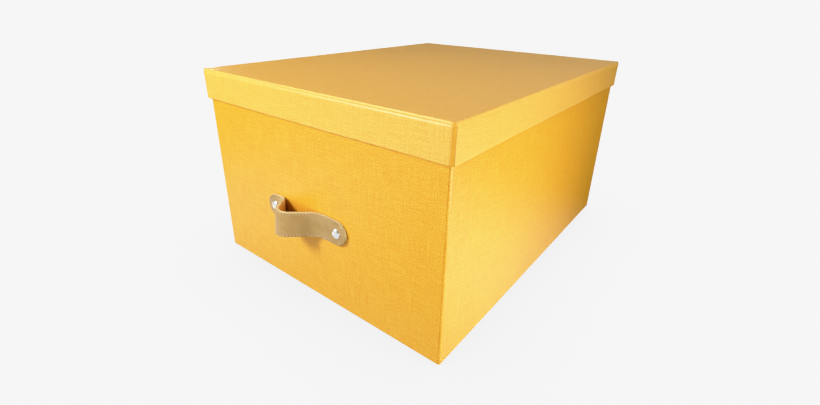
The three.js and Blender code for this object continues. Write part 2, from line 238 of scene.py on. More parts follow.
def cloth_material(name, colours, coordinates=sheet_coordinates, shade_from=None):
    """Plain weave. The last argument, if given, is where on the sheet the painted shade at the
    corners begins.
    """
    n = Nodes(name)
    place = coordinates(n)
    stray = n.noise(place, (0.11, 0.11, 0.11), 3.0)
    wander = n.new("ShaderNodeCombineXYZ")
    n.link(n.math("MULTIPLY", stray, THREAD_STRAY), wander.inputs[0])
    across = n.noise(place, (0.13, 0.09, 0.1), 3.0)
    n.link(n.math("MULTIPLY", across, THREAD_STRAY), wander.inputs[1])
    bent = n.added(place, wander.outputs[0])
    split = n.new("ShaderNodeSeparateXYZ")
    n.link(bent, split.inputs[0])
    turn = math.pi / THREAD_PITCH
    warp = n.math("SINE", n.math("MULTIPLY", split.outputs[0], turn))
    weft = n.math("SINE", n.math("MULTIPLY", split.outputs[1], turn))
    weave = n.math("MULTIPLY", warp, weft)
    # Uneven yarn: long thin streaks both ways, and slubs as specks.
    streak = n.math("ADD", n.noise(bent, (0.035, 1.0, 1), 2.0, 0.6),
                    n.noise(bent, (1.0, 0.03, 1), 2.0, 0.6))
    speck = n.noise(place, (0.8, 0.8, 0.8), 2.0, 0.7)
    tone = n.math("MULTIPLY", n.math("SUBTRACT", streak, 1.0), STREAK_TONE)
    uneven = n.math("MULTIPLY", n.math("SUBTRACT", speck, 0.5), SPECK_TONE)
    tone = n.math("ADD", tone, uneven)
    tone = n.math("ADD", tone, n.math("MULTIPLY", weave, WEAVE_TONE))
    tone = n.math("ADD", tone, MEAN_TONE)
    colour = n.ramp(tone, [(0.25, colours[0]), (0.5, colours[1]), (0.75, colours[2])])
    roughness = CLOTH_ROUGHNESS
    if shade_from:
        flat = n.new("ShaderNodeSeparateXYZ")
        n.link(place, flat.inputs[0])
        past = [n.math("SUBTRACT", n.math("ABSOLUTE", flat.outputs[i]), shade_from[i])
                for i in (0, 1)]
        end = n.math("DIVIDE", past[0], CORNER_SHADE_FADE, clamp=True)
        end = n.math("MULTIPLY", end, n.math("GREATER_THAN", past[1], 0.0))
        # painted shade: the cloth darkens towards the lid's corners
        colour = n.mix(end, colour, CORNER_SHADE_TINT, "MULTIPLY")
        roughness = n.math("ADD", n.math("MULTIPLY", end, CORNER_ROUGHER), roughness)
    n.set(Base_Color=colour, Roughness=roughness, Specular_IOR_Level=0.5)
    height = n.math("ADD", n.math("MULTIPLY", weave, WEAVE_RELIEF),
                    n.math("MULTIPLY", streak, STREAK_RELIEF))
    height = n.math("ADD", height, n.math("MULTIPLY", speck, SPECK_RELIEF))
    n.bump(height, CLOTH_RELIEF)
    return n.material


def cloth_edge_material():
    """The cut edge of the cloth: fuzzy ends of yarn, darker than its face, partly their own
    colour and partly painted shade of the thin gap at the cut.
    """
    n = Nodes("cloth_cut_edge_with_gap_shade")
    place = solid_coordinates(n)
    fuzz = n.noise(place, (1.2, 1.2, 0.9), 4.0, 0.75)
    colour = n.ramp(fuzz, [(0.38, (0.16, 0.060, 0.004)), (0.52, (0.30, 0.12, 0.01)),
                           (0.66, (0.50, 0.24, 0.03))])
    n.set(Base_Color=colour, Roughness=0.85, Specular_IOR_Level=0.2)
    n.bump(fuzz, 0.08)
    return n.material


def paper_material(name, light, dark, fibre=0.5):
    """Paper; `fibre` is how much of its unevenness is fine."""
    n = Nodes(name)
    place = solid_coordinates(n)
    fine = n.noise(place, (0.9, 0.9, 0.9), 4.0, 0.65)
    broad = n.noise(place, (0.02, 0.02, 0.02), 2.0)
    tone = n.math("ADD", n.math("MULTIPLY", fine, fibre), n.math("MULTIPLY", broad, 1 - fibre))
    n.set(Base_Color=n.ramp(tone, [(0.36, dark), (0.62, light)]), Roughness=0.88,
          Specular_IOR_Level=0.25)
    n.bump(fine, 0.04)
    return n.material


def board_material():
    """Greyboard: layered pulp with dark flecks."""
    n = Nodes("greyboard")
    place = solid_coordinates(n)
    pulp = n.noise(place, (0.35, 0.35, 1.6), 5.0, 0.7)
    fleck = n.noise(place, (1.9, 1.9, 3.1), 1.0)
    base = n.ramp(pulp, [(0.30, (0.150, 0.135, 0.115)), (0.70, (0.290, 0.265, 0.230))])
    dark = n.mix(n.ramp(fleck, [(0.68, (0, 0, 0)), (0.74, (1, 1, 1))]), base,
                 (0.07, 0.06, 0.055))
    n.set(Base_Color=dark, Roughness=0.95, Specular_IOR_Level=0.2)
    n.bump(pulp, 0.12)
    return n.material


def leather_material(name, dark, light, roughness, grain=0.03):
    """Leather with a pebbled grain, `grain` millimetres deep, and broad patches of tone."""
    n = Nodes(name)
    place = solid_coordinates(n)
    cells = n.new("ShaderNodeTexVoronoi", feature="F1")
    cells.inputs["Scale"].default_value = 1.0
    n.link(n.scaled(place, (1.5, 1.5, 1.5)), cells.inputs["Vector"])
    crease = n.noise(place, (0.5, 0.5, 0.5), 4.0, 0.6)
    broad = n.noise(place, (0.06, 0.06, 0.09), 3.0, 0.55)
    tone = n.math("ADD", n.math("MULTIPLY", broad, 0.8), n.math("MULTIPLY", crease, 0.2))
    n.set(Base_Color=n.ramp(tone, [(0.36, dark), (0.62, light)]), Specular_IOR_Level=0.45)
    n.set(Roughness=n.math("ADD", n.math("MULTIPLY", crease, 0.12), roughness - 0.06))
    n.bump(n.math("ADD", n.math("MULTIPLY", cells.outputs["Distance"], 0.6), crease), grain)
    return n.material


def thread_material():
    """Twisted, waxed thread; its UV map runs along it and round it."""
    n = Nodes("waxed_thread")
    place = sheet_coordinates(n)
    twist = n.new("ShaderNodeTexWave", wave_type="BANDS", bands_direction="DIAGONAL")
    twist.inputs["Scale"].default_value = 1.0
    twist.inputs["Distortion"].default_value = 1.0
    n.link(place, twist.inputs["Vector"])
    colour = n.ramp(twist.outputs["Fac"], [(0.0, (0.33, 0.24, 0.11)), (0.7, (0.58, 0.46, 0.26))])
    n.set(Base_Color=colour, Roughness=0.6, Sheen_Weight=0.3)
    n.bump(twist.outputs["Fac"], 0.05)
    return n.material


def metal_material(name, roughness, colour):
    """Polished or plated metal with a slight haze."""
    n = Nodes(name)
    place = solid_coordinates(n)
    haze = n.noise(place, (1.1, 1.1, 1.1), 4.0, 0.7)
    n.set(Base_Color=n.ramp(haze, [(0.3, tuple(c * 0.93 for c in colour)), (0.7, colour)]),
          Metallic=1.0, Roughness=roughness)
    n.bump(haze, 0.004)
    return n.material


cloth = cloth_material("book_cloth", BODY_CLOTH)
# The lid's cloth: a paler copy as painted light, with painted shade at its corners.
lid_weave = cloth_material("book_cloth_lid", LID_CLOTH_PAINTED_PALER, shade_from=CORNER_SHADE_FROM)
cloth_flat = cloth_material("book_cloth_under", BODY_CLOTH, solid_coordinates)
cut_edge_with_gap_shade = cloth_edge_material()
lining = paper_material("lining_paper", (0.78, 0.73, 0.62), (0.68, 0.63, 0.52))
tape = paper_material("gummed_tape", (0.50, 0.37, 0.20), (0.38, 0.27, 0.13), 0.7)
greyboard = board_material()
leather_face = leather_material("leather_face", (0.285, 0.176, 0.054), (0.342, 0.220, 0.085),
                                0.40)
leather_back = leather_material("leather_back", (0.70, 0.41, 0.10), (0.82, 0.53, 0.16), 0.62)
leather_edge = leather_material("leather_cut_edge", (0.43, 0.36, 0.17), (0.55, 0.48, 0.26), 0.6,
                                0.06)
# Painted shade for the stitch holes, put on flat discs.
hole_shade = leather_material("painted_hole_shade", (0.08, 0.045, 0.012), (0.13, 0.08, 0.025), 0.8)
thread = thread_material()
nickel = metal_material("polished_nickel", 0.0, (0.90, 0.90, 0.91))
zinc = metal_material("zinc_plate", 0.22, (0.72, 0.72, 0.70))


# ---- meshes ----
SHARP = math.radians(38)             # an edge that turns further than this isn't smoothed


def object_from(bm, name, materials, body, replaced=()):
    """A smooth-shaded object from a bmesh in millimetres, riding on a CAD body."""
    bmesh.ops.scale(bm, vec=(MM, MM, MM), verts=bm.verts)
    bm.normal_update()
    for face in bm.faces:
        face.smooth = True
    for edge in bm.edges:
        if len(edge.link_faces) == 2 and edge.calc_face_angle(0) > SHARP:
            edge.smooth = False
    mesh = bpy.data.meshes.new(name)
    bm.to_mesh(mesh)
    bm.free()
    obj = bpy.data.objects.new(name, mesh)
    bpy.context.scene.collection.objects.link(obj)
    for material in materials:
        mesh.materials.append(material)
    if body:
        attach(obj, body)
    if replaced:
        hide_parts(*replaced)
    return obj


def mesh_of(points, faces, places=None, indices=None):
    """A bmesh from points, faces, a flat place for each point and a material for each face."""
    bm = bmesh.new()
    verts = [bm.verts.new(p) for p in points]
    layer = bm.loops.layers.uv.new("sheet")
    for number, corners in enumerate(faces):
        if len(set(corners)) < 3:
            continue
        face = bm.faces.new([verts[c] for c in dict.fromkeys(corners)])
        if indices:
            face.material_index = indices[number]
        if places:
            for loop, corner in zip(face.loops, dict.fromkeys(corners)):
                loop[layer].uv = places[corner]
    return bm


def thicken_edges(bm, depth, material_index=1):
    """Gives the cut edges of a sheet their thickness, going in from its face."""
    bm.normal_update()
    layer = bm.loops.layers.uv.verify()
    inner = {}
    for loop in [e.link_loops[0] for e in bm.edges if e.is_boundary]:
        ends = []
        for v in (loop.link_loop_next.vert, loop.vert):
            if v not in inner:
                inner[v] = bm.verts.new(v.co - v.normal * depth)
            ends.append(v)
        face = bm.faces.new([ends[0], ends[1], inner[ends[1]], inner[ends[0]]])
        face.material_index = material_index
        for edge_loop in face.loops:
            edge_loop[layer].uv = loop[layer].uv


def wave(seed, a, b, size):
    """A slow unevenness from -size to size; each seed gives another."""
    return size * noise.noise(Vector((a, b, seed)))


def arc(centre_inset, centre_z, r, start, stop, steps, side):
    """Rows round an edge: angles from straight up, towards the outside (side=-1) or inside."""
    rows = []
    for i in range(steps + 1):
        a = math.radians(start + (stop - start) * i / steps)
        rows.append((centre_inset + side * r * math.sin(a), centre_z + r * math.cos(a)))
    return rows


def with_lengths(rows):
    """Adds to each row its distance along the sheet."""
    total = 0.0
    out = []
    for i, row in enumerate(rows):
        if i:
            total += math.hypot(row[0] - rows[i - 1][0], row[1] - rows[i - 1][1])
        out.append((*row, total))
    return out


def spaced(start, stop, step):
    """Numbers from start to stop, about step apart, both ends included."""
    count = max(1, round(abs(stop - start) / step))
    return [start + (stop - start) * i / count for i in range(count + 1)]


# The way each wall faces, and the walls in order round the box.
WALLS = {"front": (0, -1), "right": (1, 0), "back": (0, 1), "left": (-1, 0)}
NEXT = ["front", "right", "back", "left"]


def rounded_point(half_x, half_y, r, wall, along, angle, inset):
    """A point of a rounded rectangle, drawn in by `inset`, and the way out there.

    `along` goes from -1 to 1 the way round (front: to +x, right: to +y and so on). With an
    angle, the point is on the corner after that wall, from 0 at the wall to 1 at the next.
    """
    normal = Vector((*WALLS[wall], 0))
    tangent = Vector((-normal.y, normal.x, 0))
    ahead, out = (half_x, half_y) if normal.x == 0 else (half_y, half_x)
    radius = max(r - inset, TIGHTEST_R)
    reach = ahead - inset - radius
    if angle is None:
        return tangent * along * reach + normal * (out - inset), normal
    turn = angle * math.pi / 2
    way = normal * math.cos(turn) + tangent * math.sin(turn)
    return tangent * reach + normal * (out - inset - radius) + way * radius, way


def eased(over):
    """A soft step from 0 to 1 as `over` goes from -0.5 to 0.5."""
    part = min(1.0, max(0.0, over + 0.5))
    return part * part * (3 - 2 * part)


ARC_STEPS = 7                        # columns of a sheet round a corner


# ---- lid: one sheet of cloth ----
LID_MARGIN = 38.0                    # the lid's top is one flat face inside this margin
LID_WAVE = 0.10                      # unevenness of the skirt's cloth
LID_EDGE_WAVE = 0.16                 # and of its lower edge
LID_EDGE_BAND = 3.0                  # height over which the lower edge is uneven
RAGGED_FLAP = 0.22                   # raggedness of the side flaps' ends
RIDGE = 0.42                         # where the top board's lower edge lifts the cloth
RIDGE_TOP, RIDGE_CREST, RIDGE_FOOT = 3.2, 4.4, 18.0      # below the lid's top


def ridge(below):
    """How far the board behind pushes the cloth out, at a distance below the lid's top."""
    rise = min(1.0, max(0.0, (below - RIDGE_TOP) / (RIDGE_CREST - RIDGE_TOP)))
    fall = min(1.0, max(0.0, (below - RIDGE_CREST) / (RIDGE_FOOT - RIDGE_CREST)))
    return RIDGE * rise * (1 - fall)


def lid_cloth():
    """Top, skirt and turn-in as columns round the lid, each a row of points down the sheet."""
    half_x = lid_high.x - EAR_STEP       # the side flaps stand proud of this outline
    half_y = lid_high.y
    top, low = lid_high.z, lid_low.z
    inner = WALL
    rows = [(LID_MARGIN, top), (TOP_EDGE_R + 2.0, top), (TOP_EDGE_R + 0.5, top)]
    rows += arc(TOP_EDGE_R, top - TOP_EDGE_R, TOP_EDGE_R, 0, 90, 6, -1)
    rows += [(0, top - RIDGE_TOP), (0, top - RIDGE_TOP - 0.1), (0, top - RIDGE_CREST + 0.1)]
    rows += [(0, z) for z in spaced(top - RIDGE_CREST, low + EDGE_R + 0.5, 3.0)]
    rows += arc(EDGE_R, low + EDGE_R, EDGE_R, 90, 180, 4, -1)
    rows += arc(inner - EDGE_R, low + EDGE_R, EDGE_R, 180, 90, 4, 1)
    rows += [(inner, z) for z in spaced(low + EDGE_R + 0.6, low + LID_TURN_IN, 4.0)]
    rows = with_lengths(rows)
    columns = []          # wall, how far along it, turn round its corner, and whether a side flap
    for wall in NEXT:
        flap = wall in ("left", "right")
        reach = (half_y if flap else half_x) - LID_CORNER_R
        stops = [s / reach for s in spaced(-reach, reach, 16.0)]
        if flap:
            columns.append((wall, -1.0, None, 0.0))
        for along in stops:
            columns.append((wall, along, None, 1.0 if flap else 0.0))
        if flap:
            columns.append((wall, 1.0, None, 0.0))
        columns += [(wall, 1.0, (i + 1) / (ARC_STEPS + 1), 0.0) for i in range(ARC_STEPS)]
    points, places = [], []
    for wall, along, angle, proud in columns:
        edge, _ = rounded_point(half_x, half_y, LID_CORNER_R, wall, along, angle, 0.0)
        for inset, z, length in rows:
            p, out = rounded_point(half_x, half_y, LID_CORNER_R, wall, along, angle, inset)
            drop = min(1.0, max(0.0, (top - z) / TOP_EDGE_R))
            outside = 1.0 if inset < EDGE_R + 0.01 else 0.0
            push = EAR_STEP * proud * math.sin(drop * math.pi / 2) * outside
            if proud and inset > EDGE_R and z < low + EDGE_R:
                push = EAR_STEP * max(0.0, 1 - (inset - EDGE_R))
            if drop >= 1.0 and outside:
                push += wave(3, (p.x + p.y) / 70, z / 26, LID_WAVE) + ridge(top - z)
            p = p + out * push
            p.z = z
            if z < low + LID_EDGE_BAND:
                p.z += wave(5, p.x / 80, p.y / 80, LID_EDGE_WAVE)
            if abs(along) == 1.0 and angle is None and proud:
                p.y += wave(9, z / 2.2, along * 3, RAGGED_FLAP)
            points.append(p)
            flat = edge + out * (length - LID_MARGIN)
            places.append((flat.x, flat.y))
    n_rows, n_columns = len(rows), len(columns)
    faces, indices = [], []
    for i in range(n_columns):
        j = (i + 1) % n_columns
        step = columns[i][3] != columns[j][3]
        for k in range(n_rows - 1):
            faces.append((i * n_rows + k, i * n_rows + k + 1, j * n_rows + k + 1, j * n_rows + k))
            indices.append(1 if step else 0)
    faces.append([i * n_rows for i in range(n_columns)])
    indices.append(0)
    bm = mesh_of(points, faces, places, indices)
    bmesh.ops.recalc_face_normals(bm, faces=bm.faces)
    thicken_edges(bm, CLOTH)
    object_from(bm, "lid_cloth", [lid_weave, cut_edge_with_gap_shade], "lid", ["lid_cover"])


lid_cloth()


# ---- body: side cloths, eared round the corners under the front and back cloths ----
SIDE_WAVE, END_WAVE = 0.12, 0.10     # unevenness of the side cloths, and of the front and back
# Columns of a sheet, from its corner; they lie close over the edge of the tape or ear below.
SIDE_COLUMNS = (0, 4, 10, 16, 21, 24, 26, 28, 30, 32, 34, 36, 39, 44)
END_COLUMNS = (0, 2, 6, 11, 15, 17, 19, 21, 24, 30)
# The tape's edge: its step, and how it runs out from the corner between the base and a height.
TAPE_STEP, TAPE_STEP_WIDTH = STAY + 0.12, 2.0
TAPE_SHORT_AT_BASE, TAPE_SPREAD, TAPE_SPREAD_HEIGHT = 3.5, 6.0, 140.0
# The edge of a side cloth's ear, under the front and back cloths, and those cloths' cut ends.
EAR_SHOWS, EAR_STEP_WIDTH = 0.10, 4.0
RAGGED_END = 0.16


def body_rows(wall_thickness, turn_under):
    """Rows (inset, z) from under the base, up the wall, over the rim and down inside.

    Also the numbers of the first and last row of the outside face.
    """
    low, rim = front_low.z, front_high.z
    rows = [(x, low) for x in spaced(turn_under, BASE_EDGE_R + 0.2, 6.0)]
    first_face = len(rows) - 1
    rows += arc(BASE_EDGE_R, low + BASE_EDGE_R, BASE_EDGE_R, 180, 90, 4, -1)
    rows += [(0, z) for z in spaced(low + BASE_EDGE_R + 0.6, rim - EDGE_R - 0.5, 6.0)]
    rows += arc(EDGE_R, rim - EDGE_R, EDGE_R, 90, 0, 4, -1)
    last_face = len(rows) - 1
    rows += arc(wall_thickness - EDGE_R, rim - EDGE_R, EDGE_R, 0, 90, 4, 1)
    rows += [(wall_thickness, z) for z in spaced(rim - EDGE_R - 0.6, rim - BODY_TURN_IN, 5.0)]
    return with_lengths(rows), first_face, last_face


def tape_edge(z, side):
    """How far the corner tape's edge is from the corner at a height: it wasn't laid true."""
    spread = TAPE_SPREAD * min(1.0, z / TAPE_SPREAD_HEIGHT)
    return STAY_LEG - TAPE_SHORT_AT_BASE + spread + wave(21, z / 45, side, 1.0)


def side_cloth(side):
    """The right (1) or left (-1) cloth, with an ear round each corner."""
    wall = "right" if side > 0 else "left"
    half_x, half_y = side_high.x, side_high.y
    rows, first, last = body_rows(WALL, BASE_TURN_IN)
    before = NEXT[(NEXT.index(wall) - 1) % 4]
    after = NEXT[(NEXT.index(wall) + 1) % 4]
    reach_end = half_x - BODY_CORNER_R
    reach_side = half_y - BODY_CORNER_R
    columns = [(before, s / reach_end, None) for s in spaced(reach_end - EAR, reach_end, 5.0)]
    columns += [(before, 1.0, (i + 1) / (ARC_STEPS + 1)) for i in range(ARC_STEPS)]
    near = [reach_side - d for d in SIDE_COLUMNS]
    middle = spaced(-near[-1], near[-1], 17.0)[1:-1]
    stops = [-s for s in near] + middle + near[::-1]
    first_side = len(columns)
    columns += [(wall, s / reach_side, None) for s in stops]
    last_side = len(columns) - 1
    columns += [(wall, 1.0, (i + 1) / (ARC_STEPS + 1)) for i in range(ARC_STEPS)]
    columns += [(after, -s / reach_end, None) for s in spaced(reach_end, reach_end - EAR, 5.0)]
    points, places = [], []
    run = 0.0
    previous = None
    for wall_name, along, angle in columns:
        edge, _ = rounded_point(half_x, half_y, BODY_CORNER_R, wall_name, along, angle, 0.0)
        run += (edge - previous).length if previous else 0.0
        previous = edge
        for inset, z, length in rows:
            p, out = rounded_point(half_x, half_y, BODY_CORNER_R, wall_name, along, angle, inset)
            if wall_name == wall and angle is None and inset < 0.01:
                from_corner = half_y - abs(p.y)
                over = from_corner - tape_edge(z, math.copysign(1, p.y))
                p = p - out * TAPE_STEP * eased(over / TAPE_STEP_WIDTH)
                p = p + out * wave(11 + side, p.y / 60, z / 60, SIDE_WAVE)
            p.z = z
            points.append(p)
            places.append((run, length))
    n_rows = len(rows)
    faces = []
    for i in range(len(columns) - 1):
        whole = first_side <= i < last_side
        for k in range(n_rows - 1):
            if whole or first <= k < last:
                faces.append((i * n_rows + k, (i + 1) * n_rows + k, (i + 1) * n_rows + k + 1,
                              i * n_rows + k + 1))
    bm = mesh_of(points, faces, places)
    bmesh.ops.delete(bm, geom=[v for v in bm.verts if not v.link_faces], context="VERTS")
    thicken_edges(bm, CLOTH)
    object_from(bm, f"{wall}_cloth", [cloth, cut_edge_with_gap_shade], "box",
                [f"{wall}_cover"])


side_cloth(1)
side_cloth(-1)


def end_cloth(side):
    """The front (-1) or back (1) cloth: a flat sheet that stops short of the corners."""
    name = "front" if side < 0 else "back"
    half_x, half_y = front_high.x, FRONT_Y
    rows, _, _ = body_rows(WALL + EAR_STEP, BASE_TURN_IN)
    near = [half_x - d for d in END_COLUMNS]
    stops = [-s for s in near] + spaced(-near[-1], near[-1], 14.0)[1:-1] + near[::-1]
    if side > 0:
        stops = stops[::-1]
    points, places = [], []
    for x in stops:
        for inset, z, length in rows:
            out = side * (half_y - inset)
            ragged = 0.0
            if abs(x) == half_x:
                ragged = wave(31 + side, z / 3.0, x, RAGGED_END)
            if inset < 0.01:
                over = half_x + CORNER_SHORT - abs(x) - EAR
                out -= side * EAR_SHOWS * eased(over / EAR_STEP_WIDTH)
                out += side * wave(15 + side, x / 60, z / 60, END_WAVE)
            reach = half_x if inset < WALL else half_x - EAR_STEP - 1
            across = max(-reach, min(reach, x))
            points.append(Vector((across + ragged, out, z)))
            places.append((x * -side, length))
    n_rows = len(rows)
    faces = [(i * n_rows + k, (i + 1) * n_rows + k, (i + 1) * n_rows + k + 1, i * n_rows + k + 1)
             for i in range(len(stops) - 1) for k in range(n_rows - 1)]
    bm = mesh_of(points, faces, places)
    thicken_edges(bm, CLOTH)
    object_from(bm, f"{name}_cloth", [cloth, cut_edge_with_gap_shade], "box",
                [f"{name}_cover"])


end_cloth(-1)
end_cloth(1)


# ---- strap ----
GLUE_LINE = THREAD + GLUE + LEATHER + GLUE / 2      # off the cloth, where the strap lies flat
FACE = GLUE / 2 + LEATHER
STRAP_ENDS = (STUD_X[0] - STRAP_BEYOND_STUD, STUD_X[1] + STRAP_BEYOND_STUD)
LEAN = 0.14                          # how far the crest's lower edge leans out, per height
# A leather's section: rubbed edge, a point on its rounding, crown, flat middle, stitch groove.
EDGE_RUB = 0.45
RUB_IN, RUB_DOWN = 0.13, 0.14
CROWN = 0.05
FLAT_INSIDE = 6.0
GROOVE = ((-0.9, 0.07), (-0.45, -0.04), (0, -0.16), (0.45, -0.04), (0.9, 0.06))


def strap_chain():
    """The glue line seen from above: (length, turn) of each straight and bend."""
    a, b = LEFT_SLOPE, RIGHT_SLOPE
    crest = CREST_OUT - CREST_R
    left = (CREST_X - CREST_R * math.sin(a), crest + CREST_R * math.cos(a))
    right = (CREST_X + CREST_R * math.sin(b), crest + CREST_R * math.cos(b))
    left_rise = left[1] - GLUE_LINE - LEFT_FOOT_R * (1 - math.cos(a))
    right_rise = right[1] - GLUE_LINE - RIGHT_FOOT_R * (1 - math.cos(b))
    left_foot = left[0] - left_rise / math.tan(a) - LEFT_FOOT_R * math.sin(a)
    right_foot = right[0] + right_rise / math.tan(b) + RIGHT_FOOT_R * math.sin(b)
    return [(left_foot - STRAP_ENDS[0], 0), (LEFT_FOOT_R * a, a), (left_rise / math.sin(a), 0),
            (CREST_R * (a + b), -(a + b)), (right_rise / math.sin(b), 0), (RIGHT_FOOT_R * b, b),
            (STRAP_ENDS[1] - right_foot, 0)]


CHAIN = strap_chain()
STRAP_LENGTH = sum(length for length, _ in CHAIN)


def along_strap(s):
    """The glue line at a length along it, [x, out], and its heading."""
    x, out, heading = STRAP_ENDS[0], GLUE_LINE, 0.0
    for length, turn in CHAIN:
        step = min(s, length)
        if turn:
            r = length / turn
            part = turn * step / length
            x += r * (math.sin(heading + part) - math.sin(heading))
            out += r * (math.cos(heading) - math.cos(heading + part))
            heading += part
        else:
            x += step * math.cos(heading)
            out += step * math.sin(heading)
        s -= step
        if s <= 0:
            break
    return x, out, heading


def strap_point(s, w, depth):
    """Length along the strap, height across it, depth off its glue line.

    The arch leans: its lower edge stands out from the box further than its upper edge.
    """
    x, out, heading = along_strap(s)
    arch = (out - GLUE_LINE) / (CREST_OUT - GLUE_LINE)
    out += depth * math.cos(heading) - LEAN * w * arch
    return Vector((x - depth * math.sin(heading), -(FRONT_Y + out), STRAP_Z + w))


def strap_outline(inset):
    """Columns from tip to tip: (length along, half width) of the outline drawn in by inset."""
    r = STRAP_WIDTH / 2
    ends = [math.pi / 2 * i / 14 for i in range(15)]
    left = [(r - (r - inset) * math.cos(a), (r - inset) * math.sin(a)) for a in ends]
    middle = spaced(r, STRAP_LENGTH - r, 1.5)[1:-1]
    right = [(STRAP_LENGTH - r + (r - inset) * math.sin(a), (r - inset) * math.cos(a))
             for a in ends]
    return left + [(s, r - inset) for s in middle] + right


def leather(name, low, high, skin, node, groove_side):
    """One leather: loops go round it from its glued face over the cut edge to its seen face.

    Each row of the profile is (inset, depth, 1 on the cut edge).
    """
    loops = []
    shoulder = STITCH_INSET + GROOVE[0][0]
    profile = [(FLAT_INSIDE, low, 0), (shoulder, low, 0), (EDGE_RUB, low, 0),
               (RUB_IN, low + RUB_DOWN, 1), (0, low + EDGE_RUB, 1), (0, (low + high) / 2, 1),
               (0, high - EDGE_RUB, 1), (RUB_IN, high - RUB_DOWN, 1), (EDGE_RUB, high, 0),
               (shoulder, high + CROWN, 0)]
    profile += [(STITCH_INSET + across, high + rise, 0) for across, rise in GROOVE]
    profile.append((FLAT_INSIDE, high + CROWN, 0))
    if groove_side < 0:
        profile = [(inset, low + high - depth, index) for inset, depth, index in profile]
    points, places, faces, indices = [], [], [], []
    count = len(strap_outline(0))
    for inset, depth, _ in profile:
        outline = strap_outline(inset)
        ring = [(s, w) for s, w in outline] + [(s, -w) for s, w in outline[-2:0:-1]]
        start = len(points)
        for s, w in ring:
            points.append(strap_point(s, w, depth))
            places.append((s, w))
        loops.append(range(start, len(points)))
    size = len(loops[0])
    for a, b, (_, _, index), (_, _, index2) in zip(loops, loops[1:], profile, profile[1:]):
        for i in range(size):
            j = (i + 1) % size
            faces.append((a[i], a[j], b[j], b[i]))
            indices.append(1 if index and index2 else 0)
    for loop in (loops[0], loops[-1]):
        upper = [loop[i] for i in range(count)]
        lower = [loop[0]] + [loop[size - i] for i in range(1, count - 1)] + [loop[count - 1]]
        for i in range(count - 1):
            faces.append((upper[i], upper[i + 1], lower[i + 1], lower[i]))
            indices.append(0)
    bm = mesh_of(points, faces, places, indices)
    bmesh.ops.remove_doubles(bm, verts=bm.verts, dist=0.002)
    bmesh.ops.recalc_face_normals(bm, faces=bm.faces)
    return object_from(bm, name, [skin, leather_edge], None, [node])


def flex(obj):
    """Bakes the strap piece's placement into its mesh."""
    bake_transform(obj)


flex(leather("strap_face", GLUE / 2, FACE, leather_face, "strap_outer", 1))
flex(leather("strap_back", -FACE, -GLUE / 2, leather_back, "strap_lining",
             -1))


STITCH_PITCH = 3.75
HOLE_LENGTH, HOLE_WIDTH, HOLE_SINK, HOLE_CORNERS = 1.5, 0.75, 0.09, 10
STITCH_FILL = 0.60                   # share of the pitch that each stitch covers
STITCH_R = 0.27
STITCH_SLANT = 0.18
STITCH_LIFT, STITCH_SINK = 0.17, 0.16    # its middle stands up, and its ends dip into the holes
STITCH_RING, STITCH_STEPS = 8, 9     # points round and along a stitch


def stitches(name, depth, side, node):
    """A row of stitches round the strap, each a short thread that dips, and between them flat
    dark discs of painted shade for the holes.
    """
    r = STRAP_WIDTH / 2 - STITCH_INSET
    left, right = STRAP_WIDTH / 2, STRAP_LENGTH - STRAP_WIDTH / 2
    straight = right - left
    round_end = math.pi * r
    total = 2 * (straight + round_end)

    def place(t):
        """Point (s, w) and direction on the stitching line at a distance round it."""
        t %= total
        if t < straight:
            return (left + t, r), (1, 0)
        t -= straight
        if t < round_end:
            a = t / r
            return (right + r * math.sin(a), r * math.cos(a)), (math.cos(a), -math.sin(a))
        t -= round_end
        if t < straight:
            return (right - t, -r), (-1, 0)
        a = (t - straight) / r
        return (left - r * math.sin(a), -r * math.cos(a)), (-math.cos(a), math.sin(a))

    count = round(total / STITCH_PITCH)
    pitch = total / count
    ring, steps = STITCH_RING, STITCH_STEPS
    points, faces, places = [], [], []
    for number in range(count):
        start = len(points)
        for k in range(steps):
            f = k / (steps - 1)
            t = (number + 0.5 - STITCH_FILL / 2 + STITCH_FILL * f) * pitch
            (s, w), (ds, dw) = place(t)
            slant = STITCH_SLANT * (f - 0.5) * side
            s, w = s - dw * slant, w + ds * slant
            swell = math.sin(math.pi * f) ** 0.35
            radius = STITCH_R * (0.55 + 0.45 * swell)
            lift = depth + side * (STITCH_LIFT * swell - STITCH_SINK)
            for m in range(ring):
                a = 2 * math.pi * m / ring
                across, up = radius * math.cos(a), radius * 0.8 * math.sin(a)
                points.append(strap_point(s - dw * across, w + ds * across, lift + side * up))
                places.append((t * 3, m * 0.6))
        for k in range(steps - 1):
            for m in range(ring):
                a, b = start + k * ring + m, start + k * ring + (m + 1) % ring
                faces.append((a, b, b + ring, a + ring))
        faces.append([start + m for m in range(ring)][::-1])
        faces.append([start + (steps - 1) * ring + m for m in range(ring)])
    indices = [0] * len(faces) + [1] * count
    # Each hole is a flat dark disc: painted shade for the hole's depth.
    for number in range(count):
        start = len(points)
        (s, w), (ds, dw) = place(number * pitch)
        for m in range(HOLE_CORNERS):
            a = 2 * math.pi * m / HOLE_CORNERS
            along, across = HOLE_LENGTH / 2 * math.cos(a), HOLE_WIDTH / 2 * math.sin(a)
            points.append(strap_point(s + ds * along - dw * across, w + dw * along + ds * across,
                                      depth - side * HOLE_SINK))
            places.append((along, across))
        faces.append(range(start, start + HOLE_CORNERS))
    bm = mesh_of(points, faces, places, indices)
    bmesh.ops.recalc_face_normals(bm, faces=bm.faces)
    return object_from(bm, name, [thread, hole_shade], None, [node])


flex(stitches("face_stitches", FACE, 1, "needle_thread"))
flex(stitches("back_stitches", -FACE, -1, "bobbin_thread"))


